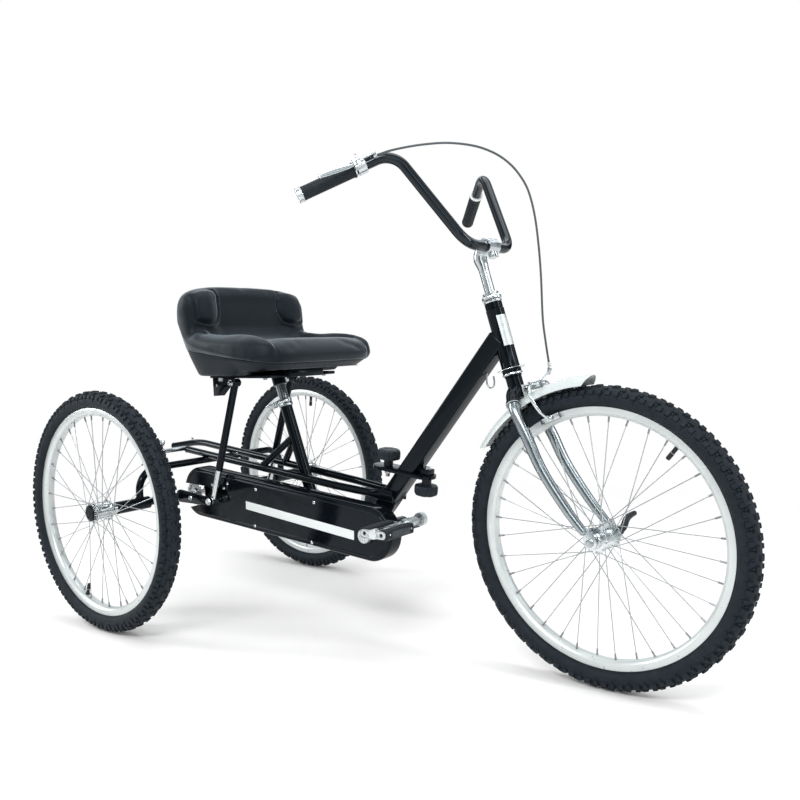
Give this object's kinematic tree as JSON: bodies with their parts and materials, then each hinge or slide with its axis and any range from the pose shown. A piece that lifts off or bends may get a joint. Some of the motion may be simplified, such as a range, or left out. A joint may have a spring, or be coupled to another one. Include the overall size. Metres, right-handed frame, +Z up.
{
  "type": "adaptive tricycle",
  "caption": "Adaptive tricycle with a bench seat with low backrest, upright handlebar, enclosed chain drive to a rear wheel, one steered front wheel and a height-adjustable braced seat.",
  "frame": {"origin": "on the ground, midway along the overall length and width", "axes": "+X forward, +Y to the rider's left, +Z up"},
  "size_m": [1.7786, 0.79, 1.083],
  "materials": {
    "black_paint": "gloss black paint",
    "chrome": "bright chrome plate",
    "alloy_rim": "satin silver",
    "steel": "plain zinc plated steel",
    "tyre_rubber": "moulded rubber",
    "grip_rubber": "ribbed rubber",
    "brake_block_rubber": "plain rubber",
    "knob_plastic": "moulded dark grey",
    "shell_plastic": "moulded slate grey",
    "vinyl": "grained black vinyl",
    "guard_plastic": "pale grey gloss",
    "cable_sheath": "smooth black sheath"
  },
  "bodies": {
    "frame": {"main_frame": "black_paint", "right_rail": "black_paint", "left_rail": "black_paint", "seat_tube": "black_paint", "rear_axle_frame": "black_paint", "accessory_bar": "chrome", "knob_plate": "black_paint", "chain_case_cover": "black_paint", "chain_case_hood": "black_paint", "chain_case_back": "black_paint", "chain": "steel", "left_stub_axle": "steel", "headset_upper": "chrome", "headset_lower": "chrome", "seat_clamp_collar": "chrome"},
    "steering": {"fork": "chrome", "crown_sleeve": "black_paint", "stem": "chrome", "handlebar": "black_paint", "right_grip": "grip_rubber", "left_grip": "grip_rubber", "brake_lever_bracket": "chrome", "brake_cable": "cable_sheath", "caliper_bolt": "steel", "front_mudguard": "guard_plastic", "front_axle": "steel"},
    "front_wheel": {"front_tyre": "tyre_rubber", "front_rim": "alloy_rim", "front_hub": "chrome"},
    "right_wheel": {"right_tyre": "tyre_rubber", "right_rim": "alloy_rim", "right_hub": "chrome", "axle_shaft": "steel", "rear_sprocket": "steel"},
    "left_wheel": {"left_tyre": "tyre_rubber", "left_rim": "alloy_rim", "left_hub": "chrome"},
    "cranks": {"crankset": "steel", "left_crank": "steel"},
    "right_pedal": {"right_pedal": "grip_rubber"},
    "left_pedal": {"left_pedal": "grip_rubber"},
    "brake_lever": {"brake_lever": "chrome"},
    "brake_lock": {"brake_lock": "chrome"},
    "caliper_right": {"caliper_arm_right": "chrome", "brake_pad_right": "brake_block_rubber"},
    "caliper_left": {"caliper_arm_left": "chrome", "brake_pad_left": "brake_block_rubber"},
    "front_release": {"front_release_lever": "knob_plastic"},
    "seat": {"seat_frame": "black_paint", "seat_post": "chrome", "seat_shell": "shell_plastic", "seat_cushion": "vinyl"},
    "strut_outers": {"strut_outer_right": "black_paint", "strut_outer_left": "black_paint"},
    "strut_inners": {"strut_inner_right": "chrome", "strut_inner_left": "chrome"},
    "seat_release": {"seat_release_lever": "chrome"},
    "rear_knob": {"rear_knob": "knob_plastic"},
    "front_knob": {"front_knob": "knob_plastic"},
    "bar_clamp_bolt": {"bar_clamp_bolt": "chrome"}
  },
  "joints": [
    {"name": "steering_turn", "type": "hinge", "parent": "frame", "child": "steering", "pos_m": [0.49388, 0, 0.2752], "axis": [-0.2798, 0, 0.96], "range_deg": [-45, 45]},
    {"name": "front_wheel_spin", "type": "hinge", "parent": "steering", "child": "front_wheel", "pos_m": [0.587, 0, 0.30234], "axis": [0, 1, 0], "continuous": true},
    {"name": "right_wheel_spin", "type": "hinge", "parent": "frame", "child": "right_wheel", "pos_m": [-0.587, -0.362, 0.30234], "axis": [0, 1, 0], "continuous": true},
    {"name": "left_wheel_spin", "type": "hinge", "parent": "frame", "child": "left_wheel", "pos_m": [-0.587, 0.362, 0.30234], "axis": [0, 1, 0], "continuous": true},
    {"name": "crank_spin", "type": "hinge", "parent": "frame", "child": "cranks", "pos_m": [0.061, 0, 0.265], "axis": [0, 1, 0], "continuous": true},
    {"name": "right_pedal_spin", "type": "hinge", "parent": "cranks", "child": "right_pedal", "pos_m": [0.19392, 0, 0.30896], "axis": [0, 1, 0], "continuous": true},
    {"name": "left_pedal_spin", "type": "hinge", "parent": "cranks", "child": "left_pedal", "pos_m": [-0.07192, 0, 0.22104], "axis": [0, 1, 0], "continuous": true},
    {"name": "brake_lever_squeeze", "type": "hinge", "parent": "steering", "child": "brake_lever", "pos_m": [0.18476, -0.236, 1.05259], "axis": [0.4537, 0.0891, -0.8867], "range_deg": [0, 14], "stiffness_Nm_per_rad": 0.6, "springref_deg": -17.19},
    {"name": "brake_lock_turn", "type": "hinge", "parent": "steering", "child": "brake_lock", "pos_m": [0.17298, -0.2148, 1.06651], "axis": [-0.4537, -0.0891, 0.8867], "range_deg": [0, 30]},
    {"name": "caliper_right_close", "type": "hinge", "parent": "steering", "child": "caliper_right", "pos_m": [0.44653, 0, 0.60149], "axis": [0.96, 0, 0.2798], "range_deg": [0, 1.2]},
    {"name": "caliper_left_close", "type": "hinge", "parent": "steering", "child": "caliper_left", "pos_m": [0.4545, 0, 0.60381], "axis": [-0.96, 0, -0.2798], "range_deg": [0, 1.2]},
    {"name": "front_release_swing", "type": "hinge", "parent": "steering", "child": "front_release", "pos_m": [0.587, 0.0708, 0.30234], "axis": [0.96, 0, 0.2798], "range_deg": [0, 90]},
    {"name": "seat_slide", "type": "slide", "parent": "frame", "child": "seat", "axis": [-0.3338, 0, 0.9426], "range_m": [-0.03, 0.09]},
    {"name": "strut_tilt", "type": "hinge", "parent": "seat", "child": "strut_outers", "pos_m": [-0.35753, 0, 0.61], "axis": [0, 1, 0], "range_deg": [-9, 3.5]},
    {"name": "strut_telescope", "type": "slide", "parent": "strut_outers", "child": "strut_inners", "axis": [-0.3309, 0, -0.9437], "range_m": [-0.026, 0.075]},
    {"name": "seat_release_swing", "type": "hinge", "parent": "frame", "child": "seat_release", "pos_m": [-0.30489, -0.0225, 0.54723], "axis": [-0.3338, 0, 0.9426], "range_deg": [0, 120]},
    {"name": "rear_knob_turn", "type": "hinge", "parent": "frame", "child": "rear_knob", "pos_m": [0.04786, 0, 0.40635], "axis": [0.1219, 0, 0.9925], "continuous": true},
    {"name": "front_knob_turn", "type": "hinge", "parent": "frame", "child": "front_knob", "pos_m": [0.16101, 0, 0.39246], "axis": [0.1219, 0, 0.9925], "continuous": true},
    {"name": "bar_clamp_turn", "type": "hinge", "parent": "frame", "child": "bar_clamp_bolt", "pos_m": [-0.668, -0.12, 0.4185], "axis": [0, 0, 1], "continuous": true}
  ],
  "couplings": [
    {"joint": "crank_spin", "follows": "right_wheel_spin", "ratio": 0.53846},
    {"joint": "caliper_right_close", "follows": "brake_lever_squeeze", "ratio": 0.078},
    {"joint": "caliper_left_close", "follows": "brake_lever_squeeze", "ratio": 0.078},
    {"joint": "strut_tilt", "follows": "seat_slide", "rad_per_m": -1.65},
    {"joint": "strut_telescope", "follows": "seat_slide", "ratio": 0.81}
  ]
}
